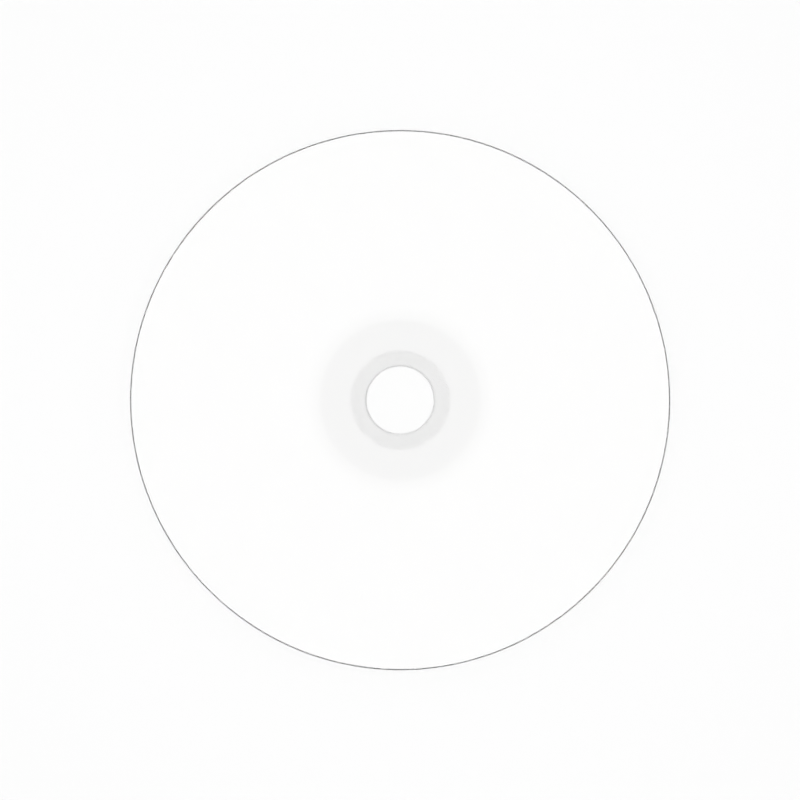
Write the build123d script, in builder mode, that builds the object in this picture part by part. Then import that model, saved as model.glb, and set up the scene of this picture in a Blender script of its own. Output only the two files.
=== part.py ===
from build123d import *

import os

# Compact disc, 120 mm, recordable kind with a blank white printable face.
#
# Millimetres. +Z points out of the printable face. The origin is on the axis
# of the centre hole, on the plane that the disc rests on, which touches the
# crest of its stacking ring.
#
# The disc is one clear polycarbonate moulding with three coats laid on its
# upper plane: the reflective film, the white base coat that seals the film,
# and the white print coat over everything out to the rim. The coats stop at
# three different radii round the hub, so each one's inner edge can be seen.

os.makedirs("parts", exist_ok=True)

# ---------------------------------------------------------------- dimensions
# The moulding
disc_r = 60.0            # outer radius, 120 mm disc
hole_r = 7.5             # centre hole radius, 15 mm hole
substrate_t = 1.20       # between the read face and the upper plane
rim_round = 0.25         # both edges of the outer rim are rounded
hole_bevel_top = 0.25    # lead-in at the hole's upper edge
hole_bevel_read = 0.10   # broken edge at the hole's read side

# The stacking ring: a low ridge on the read face, just outside the clamp area
ring_in = 16.90          # foot of the inner flank
ring_out = 17.90         # foot of the outer flank
ring_h = 0.20            # how far its crest stands off the read face
ring_slope = 0.22        # radial width of each flank
ring_round = 0.06        # rounding of the crest's two edges

# The reflective film
film_in = 20.0
film_out = 58.5
film_t = 0.005

# The base coat: level on top, it covers the film and seals both its edges
base_in = 17.9
base_out = 59.3
base_over_film = 0.012

# The print coat: it follows what lies below it
coat_in = 11.1
coat_out = 59.74
coat_t = 0.023
coat_feather_in = 0.06   # its edges thin out over this width
coat_feather_out = 0.04
coat_ramp = 0.20         # reach of its slope to each side of the base's edge

# ------------------------------------------------------------------- levels
z_foot = 0.0
z_read = z_foot + ring_h             # read face
z_plane = z_read + substrate_t       # upper plane, where the coats begin
z_film = z_plane + film_t            # top of the film
z_base = z_film + base_over_film     # top of the base coat
z_coat_hub = z_plane + coat_t        # print coat laid straight on the moulding
z_coat_top = z_base + coat_t         # print coat over the base coat

# -------------------------------------------------------------- the moulding
with BuildPart() as substrate:
    with BuildSketch(Plane.XZ) as section:
        with BuildLine():
            Polyline(
                (hole_r, z_read),
                (ring_in, z_read),
                (ring_in + ring_slope, z_foot),
                (ring_out - ring_slope, z_foot),
                (ring_out, z_read),
                (disc_r, z_read),
                (disc_r, z_plane),
                (hole_r, z_plane),
                close=True,
            )
        make_face()
    revolve(axis=Axis.Z)

    circles = substrate.edges().filter_by(GeomType.CIRCLE)
    rim_edges = circles.filter_by(lambda e: abs(e.radius - disc_r) < 1e-6)
    fillet(rim_edges, rim_round)

    circles = substrate.edges().filter_by(GeomType.CIRCLE)
    hole_edges = circles.filter_by(lambda e: abs(e.radius - hole_r) < 1e-6)
    chamfer(hole_edges.sort_by(Axis.Z)[-1], hole_bevel_top)

    circles = substrate.edges().filter_by(GeomType.CIRCLE)
    hole_edges = circles.filter_by(lambda e: abs(e.radius - hole_r) < 1e-6)
    chamfer(hole_edges.sort_by(Axis.Z)[0], hole_bevel_read)

    crest_edges = substrate.edges().filter_by(GeomType.CIRCLE).group_by(Axis.Z)[0]
    fillet(crest_edges, ring_round)

# -------------------------------------------------------- the reflective film
with BuildPart() as reflective_film:
    with BuildSketch(Plane.XY.offset(z_plane)):
        Circle(film_out)
        Circle(film_in, mode=Mode.SUBTRACT)
    extrude(amount=film_t)

# --------------------------------------------------------------- the base coat
with BuildPart() as base_coat:
    with BuildSketch(Plane.XZ) as base_section:
        with BuildLine():
            Polyline(
                (base_in, z_plane),
                (film_in, z_plane),
                (film_in, z_film),
                (film_out, z_film),
                (film_out, z_plane),
                (base_out, z_plane),
                (base_out, z_base),
                (base_in, z_base),
                close=True,
            )
        make_face()
    revolve(axis=Axis.Z)

# -------------------------------------------------------------- the print coat
with BuildPart() as print_coat:
    with BuildSketch(Plane.XZ) as coat_section:
        with BuildLine():
            Polyline(
                (coat_in, z_plane),
                (base_in, z_plane),
                (base_in, z_base),
                (base_out, z_base),
                (base_out, z_plane),
                (coat_out, z_plane),
                (coat_out - coat_feather_out, z_coat_hub),
                (base_out + coat_ramp, z_coat_hub),
                (base_out - coat_ramp, z_coat_top),
                (base_in + coat_ramp, z_coat_top),
                (base_in - coat_ramp, z_coat_hub),
                (coat_in + coat_feather_in, z_coat_hub),
                close=True,
            )
        make_face()
    revolve(axis=Axis.Z)

# ---------------------------------------------------------------------- export
substrate.part.label = "substrate"
reflective_film.part.label = "reflective_film"
base_coat.part.label = "base_coat"
print_coat.part.label = "print_coat"

export_step(substrate.part, "parts/substrate.step")
export_step(reflective_film.part, "parts/reflective_film.step")
export_step(base_coat.part, "parts/base_coat.step")
export_step(print_coat.part, "parts/print_coat.step")

for piece in (substrate, reflective_film, base_coat, print_coat):
    size = piece.part.bounding_box().size
    print(
        piece.part.label,
        "volume mm3",
        round(piece.part.volume, 3),
        "size mm",
        round(size.X, 3),
        round(size.Y, 3),
        round(size.Z, 4),
    )
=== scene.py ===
import math

import bpy
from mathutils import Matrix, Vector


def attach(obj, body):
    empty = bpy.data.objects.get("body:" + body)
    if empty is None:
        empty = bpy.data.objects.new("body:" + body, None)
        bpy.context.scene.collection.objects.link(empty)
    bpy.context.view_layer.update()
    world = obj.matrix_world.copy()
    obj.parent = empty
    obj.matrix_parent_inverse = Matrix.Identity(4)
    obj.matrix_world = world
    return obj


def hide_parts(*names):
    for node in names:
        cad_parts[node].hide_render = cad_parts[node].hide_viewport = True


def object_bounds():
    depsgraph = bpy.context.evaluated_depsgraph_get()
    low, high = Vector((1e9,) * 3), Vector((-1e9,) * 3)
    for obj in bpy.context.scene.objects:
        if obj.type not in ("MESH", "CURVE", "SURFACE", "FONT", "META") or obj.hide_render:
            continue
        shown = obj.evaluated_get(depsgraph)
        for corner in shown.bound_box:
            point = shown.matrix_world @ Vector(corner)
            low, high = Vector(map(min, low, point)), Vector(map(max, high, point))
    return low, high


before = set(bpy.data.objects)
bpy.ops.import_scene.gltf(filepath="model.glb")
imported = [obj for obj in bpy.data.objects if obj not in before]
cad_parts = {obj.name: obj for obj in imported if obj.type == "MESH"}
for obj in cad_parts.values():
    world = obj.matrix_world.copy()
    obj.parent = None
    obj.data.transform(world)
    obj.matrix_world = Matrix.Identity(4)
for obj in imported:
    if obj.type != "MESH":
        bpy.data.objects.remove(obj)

# Compact disc, recordable kind, blank white printable face up, lying on a pale
# floor. Lengths in the tables below are millimetres, as drawings give them,
# and every mesh is made in metres in the part's own frame.

MM = 0.001


def as_lists(box):
    return [[float(v) for v in corner] for corner in box]


cad_box = as_lists(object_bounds())

# ------------------------------------------------------------------ dimensions
# The same numbers as the part's own source, from the foot of the disc upwards.
Z_FOOT, Z_READ, Z_PLANE = 0.0, 0.20, 1.40
Z_FILM, Z_BASE = 1.405, 1.417
Z_COAT_HUB, Z_COAT_TOP = 1.423, 1.440
HOLE_R = 7.5
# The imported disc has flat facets, so its box is a few thousandths of a
# millimetre narrower than 120 mm. The turned rim keeps inside that box.
RIM_R = min(-cad_box[0][0], cad_box[1][0], -cad_box[0][1], cad_box[1][1]) / MM - 0.0002
BED = 0.004  # the coats are sunk this far into the plastic, so no faces coincide

SEGMENTS = 720


# ---------------------------------------------------------------- mesh helpers
def rounded(corners, per_quarter=10):
    """A closed section from corners (r, z, radius of the rounding there). It
    gives the points, and for each stretch from a point to the next the normals
    at its two ends, so a flat stays flat right up to where a rounding starts."""
    turning = sum(
        a[0] * b[1] - b[0] * a[1] for a, b in zip(corners, corners[1:] + corners[:1])
    )
    if turning < 0:
        corners = corners[::-1]
    n = len(corners)
    points, centres = [], []
    for i, (r, z, rad) in enumerate(corners):
        pr, pz, _ = corners[i - 1]
        nr, nz, _ = corners[(i + 1) % n]
        if rad <= 0:
            points.append((r, z))
            centres.append(None)
            continue
        ux, uz = pr - r, pz - z
        vx, vz = nr - r, nz - z
        lu, lv = math.hypot(ux, uz), math.hypot(vx, vz)
        ux, uz, vx, vz = ux / lu, uz / lu, vx / lv, vz / lv
        opening = math.acos(max(-1.0, min(1.0, ux * vx + uz * vz)))
        reach = rad / math.tan(opening / 2)
        bx, bz = ux + vx, uz + vz
        lb = math.hypot(bx, bz)
        cx = r + bx / lb * rad / math.sin(opening / 2)
        cz = z + bz / lb * rad / math.sin(opening / 2)
        a0 = math.atan2(z + uz * reach - cz, r + ux * reach - cx)
        a1 = math.atan2(z + vz * reach - cz, r + vx * reach - cx)
        turn = (a1 - a0 + math.pi) % (2 * math.pi) - math.pi
        steps = max(2, round(per_quarter * abs(turn) / (math.pi / 2)))
        for k in range(steps + 1):
            a = a0 + turn * k / steps
            points.append((cx + rad * math.cos(a), cz + rad * math.sin(a)))
            centres.append((cx, cz) if k < steps else None)
    ends = []
    for k, (r0, z0) in enumerate(points):
        r1, z1 = points[(k + 1) % len(points)]
        long = math.hypot(r1 - r0, z1 - z0)
        flat = ((z1 - z0) / long, (r0 - r1) / long)
        if centres[k] is None:
            ends.append((flat, flat))
            continue
        cx, cz = centres[k]
        pair = []
        for r, z in ((r0, z0), (r1, z1)):
            away = math.hypot(r - cx, z - cz)
            out = ((r - cx) / away, (z - cz) / away)
            side = 1 if out[0] * flat[0] + out[1] * flat[1] > 0 else -1
            pair.append((out[0] * side, out[1] * side))
        ends.append(tuple(pair))
    return points, ends


def turned(name, section, material, node):
    """A piece of revolution about Z from a closed section in millimetres."""
    points, ends = section
    rows = len(points)
    verts, faces, normals = [], [], []
    turns = [2 * math.pi * (s + 0.5) / SEGMENTS for s in range(SEGMENTS)]
    turns = [(math.cos(a), math.sin(a)) for a in turns]
    for c, d in turns:
        verts.extend((r * c * MM, r * d * MM, max(z, 0.0) * MM) for r, z in points)
    for s in range(SEGMENTS):
        t = (s + 1) % SEGMENTS
        here, there = s * rows, t * rows
        (c, d), (e, f) = turns[s], turns[t]
        for k in range(rows):
            m = (k + 1) % rows
            (ar, az), (br, bz) = ends[k]
            faces.append((here + k, there + k, there + m, here + m))
            normals += [
                (ar * c, ar * d, az),
                (ar * e, ar * f, az),
                (br * e, br * f, bz),
                (br * c, br * d, bz),
            ]
    mesh = bpy.data.meshes.new(name)
    mesh.from_pydata(verts, [], faces)
    mesh.shade_smooth()
    mesh.normals_split_custom_set(normals)
    mesh.materials.append(material)
    piece = bpy.data.objects.new(name, mesh)
    bpy.context.scene.collection.objects.link(piece)
    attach(piece, "root")
    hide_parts(node)
    return piece


# ------------------------------------------------------------ material helpers
def new_material(name):
    mat = bpy.data.materials.new(name)
    mat.use_nodes = True
    nt = mat.node_tree
    nt.nodes.clear()
    out = nt.nodes.new("ShaderNodeOutputMaterial")
    return mat, nt, out


def put(nt, value, socket):
    if isinstance(value, bpy.types.NodeSocket):
        nt.links.new(value, socket)
    else:
        socket.default_value = value


def maths(nt, operation, a, b=0.0, c=None, clamp=False):
    n = nt.nodes.new("ShaderNodeMath")
    n.operation = operation
    n.use_clamp = clamp
    put(nt, a, n.inputs[0])
    put(nt, b, n.inputs[1])
    if c is not None:
        put(nt, c, n.inputs[2])
    return n.outputs[0]


def vector(nt, operation, a, b=None, scale=None):
    n = nt.nodes.new("ShaderNodeVectorMath")
    n.operation = operation
    put(nt, a, n.inputs[0])
    if b is not None:
        put(nt, b, n.inputs[1])
    if scale is not None:
        put(nt, scale, n.inputs["Scale"])
    return n.outputs["Value" if operation in ("LENGTH", "DOT_PRODUCT") else "Vector"]


def place(nt):
    return nt.nodes.new("ShaderNodeTexCoord").outputs["Object"]


def radius(nt, where):
    flat = vector(nt, "MULTIPLY", where, (1.0, 1.0, 0.0))
    return vector(nt, "LENGTH", flat), flat


def ramp(nt, value, low, high, to_low=0.0, to_high=1.0, kind="SMOOTHSTEP"):
    n = nt.nodes.new("ShaderNodeMapRange")
    n.interpolation_type = kind
    put(nt, value, n.inputs["Value"])
    put(nt, low, n.inputs["From Min"])
    put(nt, high, n.inputs["From Max"])
    put(nt, to_low, n.inputs["To Min"])
    put(nt, to_high, n.inputs["To Max"])
    return n.outputs["Result"]


def noise(nt, where, scale, detail=2.0, rough=0.5, dims="3D"):
    n = nt.nodes.new("ShaderNodeTexNoise")
    n.noise_dimensions = dims
    put(nt, where, n.inputs["Vector"])
    n.inputs["Scale"].default_value = scale
    n.inputs["Detail"].default_value = detail
    n.inputs["Roughness"].default_value = rough
    return n.outputs["Fac"]


def bump(nt, height, distance, normal=None, strength=1.0):
    n = nt.nodes.new("ShaderNodeBump")
    n.inputs["Strength"].default_value = strength
    n.inputs["Distance"].default_value = distance
    put(nt, height, n.inputs["Height"])
    if normal is not None:
        put(nt, normal, n.inputs["Normal"])
    return n.outputs["Normal"]


def tinted(nt, factor, low, high):
    n = nt.nodes.new("ShaderNodeMix")
    n.data_type = "RGBA"
    n.clamp_factor = True
    put(nt, factor, n.inputs[0])
    put(nt, (*low, 1.0) if isinstance(low, tuple) else low, n.inputs[6])
    put(nt, (*high, 1.0) if isinstance(high, tuple) else high, n.inputs[7])
    return n.outputs[2]


def principled(nt, out, **values):
    n = nt.nodes.new("ShaderNodeBsdfPrincipled")
    for key, value in values.items():
        socket = n.inputs[key.replace("_", " ")]
        if isinstance(value, tuple) and len(value) == 3:
            value = (*value, 1.0)
        put(nt, value, socket)
    if out is not None:
        nt.links.new(n.outputs[0], out.inputs["Surface"])
    return n


# ------------------------------------------------------------------- materials
def clear_polycarbonate():
    """Clear moulded plastic, polished. The hole's lead-in is matt and finely
    scored from the punch, and it and a ring round it are painted grey: painted
    shade for the dark line at the hole's edge. The rounded edges of the rim are
    painted grey too, as painted shade, its straight wall is faintly milky, and a
    half-clear white line along the print coat's inner edge is painted light that
    fills the coat's shadow on the floor below."""
    mat, nt, out = new_material("clear_polycarbonate")
    p = place(nt)
    r, _ = radius(nt, p)
    split = nt.nodes.new("ShaderNodeSeparateXYZ")
    nt.links.new(p, split.inputs[0])
    high = ramp(nt, split.outputs[2], 0.00110, 0.00116)
    # the hole's lead-in: matt and scored, and painted grey there as painted shade
    punched_with_painted_shade = maths(nt, "MULTIPLY", maths(nt, "LESS_THAN", r, 0.00775), high)
    # a ring just outside the lead-in, painted grey as painted shade
    painted_shade_ring = maths(nt, "MULTIPLY", ramp(nt, r, 0.00790, 0.00804, 1.0, 0.0), high)
    # the rounded edges of the rim, without the straight wall between them
    wall = maths(nt, "MULTIPLY", ramp(nt, split.outputs[2], 0.00041, 0.00047), ramp(nt, split.outputs[2], 0.00113, 0.00119, 1.0, 0.0))
    rim = maths(nt, "MULTIPLY", ramp(nt, r, 0.05974, 0.05978), maths(nt, "SUBTRACT", 1.0, wall))
    edge = maths(nt, "MULTIPLY", ramp(nt, r, 0.0590, 0.0595), wall)
    # the line is a half-clear white, thicker towards the coat: painted light that fills the coat's shadow on the floor
    # below
    painted_light_line = maths(nt, "MULTIPLY", maths(nt, "GREATER_THAN", r, 0.01082), maths(nt, "LESS_THAN", r, 0.0113))
    painted_light_line = maths(nt, "MULTIPLY", painted_light_line, ramp(nt, r, 0.01082, 0.01108, 0.45, 0.80, "LINEAR"))
    painted_light_line = maths(nt, "MULTIPLY", painted_light_line, high)
    haze = noise(nt, p, 260.0, 3.0)
    polish = ramp(nt, haze, 0.35, 0.75, 0.0, 0.02)
    rough = maths(nt, "ADD", polish, maths(nt, "MULTIPLY", punched_with_painted_shade, 0.36))
    rough = maths(nt, "ADD", rough, maths(nt, "MULTIPLY", rim, 0.10))
    rough = maths(nt, "ADD", rough, maths(nt, "MULTIPLY", edge, 0.12))
    flow = noise(nt, p, 120.0, 1.0)
    gentle = bump(nt, flow, 0.0000012)
    scored = noise(nt, vector(nt, "MULTIPLY", p, (1.0, 1.0, 3.0)), 9000.0, 2.0)
    cut = bump(nt, maths(nt, "MULTIPLY", scored, punched_with_painted_shade), 0.000010, gentle)
    # the moulding is painted a shade paler by the hole than further out: painted light that evens out the shading seen
    # through the hub
    clear = tinted(nt, ramp(nt, r, 0.0080, 0.0108), (0.948, 0.948, 0.945), (0.929, 0.929, 0.926))
    # painted shade: a grey ring painted round the lead-in
    clear = tinted(nt, painted_shade_ring, clear, (0.81, 0.812, 0.812))
    # painted shade: the lead-in painted grey for the dark line at the hole's edge
    clear = tinted(nt, punched_with_painted_shade, clear, (0.69, 0.692, 0.692))
    # painted shade: the rim's rounded edges painted dark grey for the dark line round the disc
    clear = tinted(nt, rim, clear, (0.43, 0.432, 0.434))
    plastic = principled(
        nt,
        None,
        Base_Color=clear,
        Roughness=rough,
        IOR=1.585,
        Transmission_Weight=maths(nt, "SUBTRACT", maths(nt, "SUBTRACT", 1.0, painted_light_line), maths(nt, "MULTIPLY", edge, 0.30)),
        Normal=cut,
    )
    # light on its way to another surface goes straight through each face
    open_way = nt.nodes.new("ShaderNodeBsdfTransparent")
    passed = tinted(nt, punched_with_painted_shade, (0.953, 0.953, 0.953), (0.83, 0.83, 0.83))
    passed = tinted(nt, rim, passed, (0.55, 0.55, 0.55))
    nt.links.new(passed, open_way.inputs["Color"])
    ray = nt.nodes.new("ShaderNodeLightPath")
    outside = maths(nt, "SUBTRACT", 1.0, nt.nodes.new("ShaderNodeNewGeometry").outputs["Backfacing"])
    outside = maths(nt, "MAXIMUM", outside, maths(nt, "GREATER_THAN", ray.outputs["Transparent Depth"], 0.5))
    straight = maths(nt, "MAXIMUM", ray.outputs["Is Shadow Ray"], ray.outputs["Is Diffuse Ray"])
    straight = maths(nt, "MAXIMUM", straight, maths(nt, "MULTIPLY", ray.outputs["Is Glossy Ray"], outside))
    both = nt.nodes.new("ShaderNodeMixShader")
    nt.links.new(straight, both.inputs[0])
    nt.links.new(plastic.outputs[0], both.inputs[1])
    nt.links.new(open_way.outputs[0], both.inputs[2])
    nt.links.new(both.outputs[0], out.inputs["Surface"])
    return mat


def white_print_coat():
    """Ink-receiving white coat: a fine matt grain, and a shade greyer where it
    has only clear plastic below it, where only the base coat is, and along its
    outer edge, where it thins out and where painted shade widens the grey line
    at the rim."""
    mat, nt, out = new_material("white_print_coat")
    p = place(nt)
    r, _ = radius(nt, p)
    over_base = ramp(nt, r, 0.01784, 0.01796)
    over_film = ramp(nt, r, 0.01994, 0.02006)
    tone = maths(nt, "ADD", 0.930, maths(nt, "MULTIPLY", over_base, 0.046))
    tone = maths(nt, "ADD", tone, maths(nt, "MULTIPLY", over_film, 0.024))
    # greyer along the outer edge: the coat thinning out, and painted shade that widens the rim's grey line
    tone = maths(nt, "MULTIPLY", tone, ramp(nt, r, 0.05957, 0.05974, 1.0, 0.86))
    cloud = noise(nt, p, 95.0, 3.0)
    speck = noise(nt, p, 5200.0, 2.0)
    tone = maths(nt, "MULTIPLY", tone, ramp(nt, cloud, 0.3, 0.7, 0.996, 1.0))
    tone = maths(nt, "MULTIPLY", tone, ramp(nt, speck, 0.3, 0.7, 0.992, 1.0))
    white = vector(nt, "SCALE", (0.947, 0.946, 0.944), scale=tone)
    rough = ramp(nt, speck, 0.3, 0.7, 0.60, 0.74)
    # the screen's mesh, the grain of the coat, and a slow unevenness
    turned_45 = nt.nodes.new("ShaderNodeMapping")
    turned_45.vector_type = "POINT"
    turned_45.inputs["Rotation"].default_value = (0.0, 0.0, math.radians(22.5))
    nt.links.new(p, turned_45.inputs["Vector"])
    split = nt.nodes.new("ShaderNodeSeparateXYZ")
    nt.links.new(turned_45.outputs[0], split.inputs[0])
    turn = 2 * math.pi / 0.00014
    mesh_x = maths(nt, "SINE", maths(nt, "MULTIPLY", split.outputs[0], turn))
    mesh_y = maths(nt, "SINE", maths(nt, "MULTIPLY", split.outputs[1], turn))
    screen = maths(nt, "MULTIPLY", mesh_x, mesh_y)
    slow = bump(nt, cloud, 0.000008)
    meshed = bump(nt, screen, 0.0000012, slow)
    grain = noise(nt, p, 14000.0, 3.0, 0.6)
    grained = bump(nt, grain, 0.000006, meshed)
    principled(
        nt,
        out,
        Base_Color=white,
        Roughness=rough,
        IOR=1.46,
        Specular_IOR_Level=0.35,
        Normal=grained,
    )
    return mat


def white_base_coat():
    """Cured white lacquer, seen through the plastic as a ring each side of the
    mirror."""
    mat, nt, out = new_material("white_base_coat")
    p = place(nt)
    cloud = noise(nt, p, 240.0, 3.0)
    speck = noise(nt, p, 7000.0, 2.0)
    shade = ramp(nt, cloud, 0.3, 0.7, 0.0, 1.0)
    white = tinted(nt, shade, (0.90, 0.90, 0.895), (0.93, 0.93, 0.925))
    rough = ramp(nt, speck, 0.3, 0.7, 0.30, 0.42)
    principled(
        nt,
        out,
        Base_Color=white,
        Roughness=rough,
        IOR=1.50,
        Normal=bump(nt, speck, 0.000002),
    )
    return mat


def mirror_film():
    """Silver over a spiral groove 0.0016 mm from turn to turn. Each colour of
    light leaves the groove at its own angle, in or out along a radius, so each
    colour is a mirror tilted along the radius by its own amount."""
    mat, nt, out = new_material("mirror_film")
    p = place(nt)
    r, flat = radius(nt, p)
    outward = vector(nt, "NORMALIZE", flat)
    geometry = nt.nodes.new("ShaderNodeNewGeometry")
    normal = geometry.outputs["Normal"]
    # the plain mirror, a shade darker over the ring where nothing is written
    grooved = ramp(nt, r, 0.0226, 0.0228)
    slow = noise(nt, p, 60.0, 2.0)
    silver = tinted(nt, grooved, (0.80, 0.82, 0.83), (0.74, 0.775, 0.79))
    silver = tinted(nt, ramp(nt, slow, 0.3, 0.7, 0.0, 0.5), silver, (0.78, 0.80, 0.80))
    plain = nt.nodes.new("ShaderNodeBsdfPrincipled")
    put(nt, silver, plain.inputs["Base Color"])
    plain.inputs["Metallic"].default_value = 1.0
    put(nt, ramp(nt, noise(nt, p, 900.0, 2.0), 0.3, 0.7, 0.045, 0.075), plain.inputs["Roughness"])
    # the groove's colours: wavelength, tint
    bands = [
        (0.440, (0.16, 0.10, 1.00)),
        (0.480, (0.02, 0.45, 1.00)),
        (0.520, (0.04, 1.00, 0.35)),
        (0.560, (0.45, 1.00, 0.05)),
        (0.600, (1.00, 0.55, 0.02)),
        (0.645, (1.00, 0.10, 0.05)),
    ]
    sums = [sum(tint[k] for _, tint in bands) for k in range(3)]
    bands = [
        (wave, tuple(2.5 * c / total for c, total in zip(tint, sums)))
        for wave, tint in bands
    ]
    pitch, index = 1.6, 1.585
    total = None
    for order in (1, 2):
        for side in (1, -1):
            for wave, tint in bands:
                inside = math.asin(order * wave / pitch / index)
                tilt = math.tan(inside / 2) * side
                leaning = vector(nt, "ADD", normal, vector(nt, "SCALE", outward, scale=tilt))
                leaning = vector(nt, "NORMALIZE", leaning)
                lobe = nt.nodes.new("ShaderNodeBsdfGlossy")
                strength = 0.20 if order == 1 else 0.07
                lobe.inputs["Color"].default_value = (*(strength * c for c in tint), 1.0)
                lobe.inputs["Roughness"].default_value = 0.09 if order == 1 else 0.12
                nt.links.new(leaning, lobe.inputs["Normal"])
                if total is None:
                    total = lobe.outputs[0]
                else:
                    add = nt.nodes.new("ShaderNodeAddShader")
                    nt.links.new(total, add.inputs[0])
                    nt.links.new(lobe.outputs[0], add.inputs[1])
                    total = add.outputs[0]
    both = nt.nodes.new("ShaderNodeMixShader")
    put(nt, maths(nt, "MULTIPLY", grooved, 0.22), both.inputs[0])
    nt.links.new(plain.outputs[0], both.inputs[1])
    nt.links.new(total, both.inputs[2])
    nt.links.new(both.outputs[0], out.inputs["Surface"])
    return mat


def floor_paper():
    mat, nt, out = new_material("pale_floor")
    p = place(nt)
    speck = noise(nt, p, 1800.0, 3.0)
    pale = tinted(nt, ramp(nt, speck, 0.3, 0.7), (0.890, 0.890, 0.890), (0.897, 0.897, 0.897))
    principled(
        nt,
        out,
        Base_Color=pale,
        Roughness=0.34,
        IOR=1.22,
        Normal=bump(nt, speck, 0.000004),
    )
    return mat


# ---------------------------------------------------------------------- pieces
moulding_section = rounded(
    [
        (HOLE_R, Z_READ + 0.10, 0.03),
        (HOLE_R + 0.10, Z_READ, 0.03),
        (16.90, Z_READ, 0.05),
        (17.12, Z_FOOT, 0.06),
        (17.68, Z_FOOT, 0.06),
        (17.90, Z_READ, 0.05),
        (RIM_R, Z_READ, 0.25),
        (RIM_R, Z_PLANE, 0.25),
        (HOLE_R + 0.25, Z_PLANE, 0.04),
        (HOLE_R, Z_PLANE - 0.25, 0.04),
    ]
)
moulding = turned(
    "disc_moulding", moulding_section, clear_polycarbonate(), "substrate"
)

bed = Z_PLANE - BED
film_section = rounded(
    [(20.0, bed, 0), (58.5, bed, 0), (58.5, Z_FILM, 0), (20.0, Z_FILM, 0)]
)
film = turned(
    "silver_film", film_section, mirror_film(), "reflective_film"
)

base_section = rounded(
    [
        (17.9, bed, 0),
        (20.0, bed, 0),
        (20.0, Z_FILM, 0),
        (58.5, Z_FILM, 0),
        (58.5, bed, 0),
        (59.3, bed, 0),
        (59.3, Z_BASE, 0.008),
        (17.9, Z_BASE, 0.008),
    ],
    per_quarter=4,
)
base = turned(
    "white_base_coat", base_section, white_base_coat(), "base_coat"
)

coat_section = rounded(
    [
        (11.1, bed, 0),
        (17.9, bed, 0),
        (17.9, Z_BASE, 0),
        (59.3, Z_BASE, 0),
        (59.3, bed, 0),
        (59.74, bed, 0),
        (59.74, Z_PLANE + 0.002, 0),
        (59.70, Z_COAT_HUB, 0.012),
        (59.50, Z_COAT_HUB, 0.30),
        (59.10, Z_COAT_TOP, 0.30),
        (18.10, Z_COAT_TOP, 0.30),
        (17.70, Z_COAT_HUB, 0.30),
        (11.16, Z_COAT_HUB, 0.012),
        (11.1, Z_PLANE + 0.002, 0),
    ],
    per_quarter=40,
)
coat = turned(
    "white_print_coat", coat_section, white_print_coat(), "print_coat"
)

# ----------------------------------------------------------------------- floor
floor_mesh = bpy.data.meshes.new("floor")
far = 12.0
floor_mesh.from_pydata(
    [(-far, -far, 0), (far, -far, 0), (far, far, 0), (-far, far, 0)], [], [(0, 1, 2, 3)]
)
floor_mesh.materials.append(floor_paper())
floor = bpy.data.objects.new("floor", floor_mesh)
bpy.context.scene.collection.objects.link(floor)

# ----------------------------------------------------------------------- light
world = bpy.data.worlds.new("studio")
bpy.context.scene.world = world
world.use_nodes = True
wt = world.node_tree
wt.nodes.clear()
w_out = wt.nodes.new("ShaderNodeOutputWorld")
w_dir = wt.nodes.new("ShaderNodeTexCoord").outputs["Generated"]
w_split = wt.nodes.new("ShaderNodeSeparateXYZ")
wt.links.new(vector(wt, "NORMALIZE", w_dir), w_split.inputs[0])
up = w_split.outputs["Z"]
# Overhead is a small bright ring with a gap at the zenith, so the clear plastic
# doesn't mirror a lamp straight up. The gap is as pale as the floor. The room is a soft grey, palest at the
# horizon, where it meets the floor.
def degrees_off_zenith(value):
    return math.cos(math.radians(value))


walls = ramp(wt, up, degrees_off_zenith(90), degrees_off_zenith(76), 0.81, 0.26)
ring = maths(
    wt,
    "MULTIPLY",
    ramp(wt, up, degrees_off_zenith(15), degrees_off_zenith(12)),
    ramp(wt, up, degrees_off_zenith(4), degrees_off_zenith(2), 1.0, 0.0),
)
gap = ramp(wt, up, degrees_off_zenith(4), degrees_off_zenith(2), 0.0, 0.64)
level = maths(wt, "ADD", maths(wt, "ADD", walls, gap), maths(wt, "MULTIPLY", ring, 14.9))
w_bg = wt.nodes.new("ShaderNodeBackground")
w_bg.inputs["Color"].default_value = (1.0, 1.0, 1.0, 1.0)
wt.links.new(level, w_bg.inputs["Strength"])
wt.links.new(w_bg.outputs[0], w_out.inputs["Surface"])

# ---------------------------------------------------------------------- camera
# Straight down the disc's axis. The frame is 800 px wide at 4.5015 px to the
# millimetre on the printed face, and the disc's centre lies 0.14 px to the
# right of the frame's and 0.14 px below it.
PX = 1.0 / 4.5015 * MM
lens, sensor = 150.0, 36.0
distance = 800 * PX * lens / sensor
camera_data = bpy.data.cameras.new("camera")
camera_data.lens = lens
camera_data.sensor_width = sensor
camera_data.clip_start = 0.01
camera_data.clip_end = 100.0
camera = bpy.data.objects.new("camera", camera_data)
camera.location = (-0.14 * PX, 0.14 * PX, Z_COAT_TOP * MM + distance)
camera.rotation_euler = (0.0, 0.0, 0.0)
bpy.context.scene.collection.objects.link(camera)
bpy.context.scene.camera = camera

scene = bpy.context.scene
scene.view_settings.view_transform = "Standard"
scene.view_settings.look = "None"
scene.view_settings.exposure = 0.0
scene.view_settings.gamma = 1.0
scene.cycles.max_bounces = 24
scene.cycles.diffuse_bounces = 8
scene.cycles.glossy_bounces = 12
scene.cycles.transmission_bounces = 20
scene.cycles.transparent_max_bounces = 16
scene.cycles.min_light_bounces = 8
scene.cycles.min_transparent_bounces = 8
scene.cycles.caustics_reflective = True
scene.cycles.caustics_refractive = True
scene.cycles.blur_glossy = 0.0
scene.cycles.sample_clamp_indirect = 0.0
# the clear plastic's own noise would break up its thin lines
scene.cycles.denoising_input_passes = "RGB"
